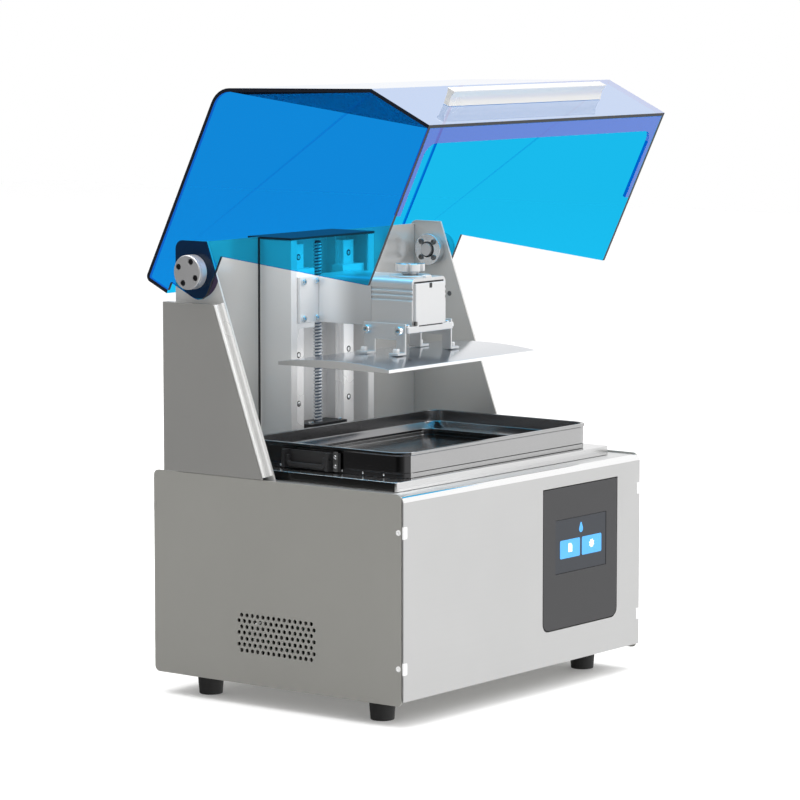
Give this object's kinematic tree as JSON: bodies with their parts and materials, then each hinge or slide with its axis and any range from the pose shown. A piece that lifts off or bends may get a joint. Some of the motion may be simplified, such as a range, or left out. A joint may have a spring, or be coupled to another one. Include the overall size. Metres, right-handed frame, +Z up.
{
  "type": "resin 3D printer",
  "caption": "Benchtop resin printer: steel cabinet with a touch screen, a vat over an LCD, a platform on a lead-screw lift, and a tinted flip-up hood shown open.",
  "frame": {"origin": "middle of the machine on the surface it stands on, with the hood open", "axes": "+X to the machine's right seen from its front, +Y to its back, +Z up"},
  "size_m": [0.376, 0.3147, 0.5464],
  "materials": {
    "base_steel": "fine brushed stainless sheet",
    "bright_steel": "satin brushed stainless sheet",
    "rubber": "matt moulded rubber",
    "bezel_plastic": "fine satin moulding",
    "screen": "polished dark display glass",
    "machined_aluminium": "clear anodised, fine machined",
    "white_aluminium": "bead blasted, bright",
    "rail_steel": "ground and polished steel",
    "brass": "turned brass",
    "black_aluminium": "black anodised, satin",
    "black_plastic": "satin black moulding",
    "supply_case": "plain zinc-coated sheet",
    "circuit_board": "green solder mask",
    "blue_acrylic": "clear tinted blue acrylic, polished, black edges"
  },
  "bodies": {
    "chassis": {"base_pan": "base_steel", "side_panel_left": "base_steel", "side_panel_right": "base_steel", "tower_skin_left": "base_steel", "tower_skin_right": "base_steel", "back_wall_left": "base_steel", "back_wall_right": "base_steel", "column_housing": "base_steel", "front_cover": "bright_steel", "vat_tray": "bright_steel", "tower_plate_left": "bright_steel", "tower_plate_right": "bright_steel", "hinge_hub_left": "bright_steel", "hinge_hub_right": "bright_steel", "foot_front_left": "rubber", "foot_front_right": "rubber", "foot_rear_left": "rubber", "foot_rear_right": "rubber", "screen_bezel": "bezel_plastic", "touch_screen": "screen", "lcd_panel": "screen", "light_engine": "machined_aluminium", "hood_channel_left": "machined_aluminium", "hood_channel_right": "machined_aluminium", "rail_left": "rail_steel", "rail_right": "rail_steel", "column_cap": "black_aluminium", "lower_bearing": "black_aluminium", "stepper_motor": "black_aluminium", "fan_frame": "black_plastic", "power_inlet": "black_plastic", "power_supply": "supply_case", "mainboard": "circuit_board"},
    "cover": {"hood_shell": "blue_acrylic", "hood_side_left": "blue_acrylic", "hood_side_right": "blue_acrylic", "hood_frame": "blue_acrylic", "hood_handle": "machined_aluminium", "hinge_disc_left": "machined_aluminium", "hinge_disc_right": "machined_aluminium"},
    "carriage": {"rail_block_left": "rail_steel", "rail_block_right": "rail_steel", "carriage_plate": "machined_aluminium", "lead_nut": "brass", "arm": "machined_aluminium", "clamp_body": "machined_aluminium"},
    "screw": {"lead_screw": "rail_steel"},
    "knob": {"clamp_knob": "machined_aluminium"},
    "platform": {"mount_block": "white_aluminium", "bracket_plate_left": "machined_aluminium", "bracket_plate_right": "machined_aluminium", "build_platform": "machined_aluminium"},
    "vat": {"vat": "black_aluminium", "film_frame": "black_aluminium", "vat_handle_bracket_left": "black_plastic", "vat_handle_bracket_right": "black_plastic"},
    "vat_grip_left": {"vat_handle_left": "black_plastic"},
    "vat_grip_right": {"vat_handle_right": "black_plastic"},
    "fan": {"fan_rotor": "black_plastic"},
    "rocker": {"power_switch": "black_plastic"}
  },
  "joints": [
    {"name": "cover_hinge", "type": "hinge", "parent": "chassis", "child": "cover", "pos_m": [0, 0.1023, 0.3814], "axis": [-1, 0, 0], "range_deg": [-64.6, 0]},
    {"name": "z_slide", "type": "slide", "parent": "chassis", "child": "carriage", "axis": [0, 0, 1], "range_m": [-0.0855, 0.02]},
    {"name": "screw_spin", "type": "hinge", "parent": "chassis", "child": "screw", "pos_m": [0, 0.1053, 0.213], "axis": [0, 0, 1], "range_deg": [-10300, 2420]},
    {"name": "knob_turn", "type": "hinge", "parent": "carriage", "child": "knob", "pos_m": [0, -0.0017, 0.3713], "axis": [0, 0, 1], "range_deg": [0, 360]},
    {"name": "platform_slide", "type": "slide", "parent": "carriage", "child": "platform", "axis": [0, -1, 0], "range_m": [0, 0.05]},
    {"name": "vat_lift", "type": "slide", "parent": "chassis", "child": "vat", "axis": [0, 0, 1], "range_m": [0, 0.03]},
    {"name": "left_handle_swing", "type": "hinge", "parent": "vat", "child": "vat_grip_left", "pos_m": [-0.147, -0.0252, 0.221], "axis": [0, 1, 0], "range_deg": [0, 85]},
    {"name": "right_handle_swing", "type": "hinge", "parent": "vat", "child": "vat_grip_right", "pos_m": [0.147, -0.0252, 0.221], "axis": [0, -1, 0], "range_deg": [0, 85]},
    {"name": "fan_spin", "type": "hinge", "parent": "chassis", "child": "fan", "pos_m": [0.062, 0.1308, 0.112], "axis": [0, 1, 0], "continuous": true},
    {"name": "power_rocker", "type": "hinge", "parent": "chassis", "child": "rocker", "pos_m": [-0.128, 0.1443, 0.0775], "axis": [1, 0, 0], "range_deg": [-8, 0]}
  ],
  "couplings": [
    {"joint": "screw_spin", "follows": "z_slide", "rad_per_m": 2094.4}
  ]
}
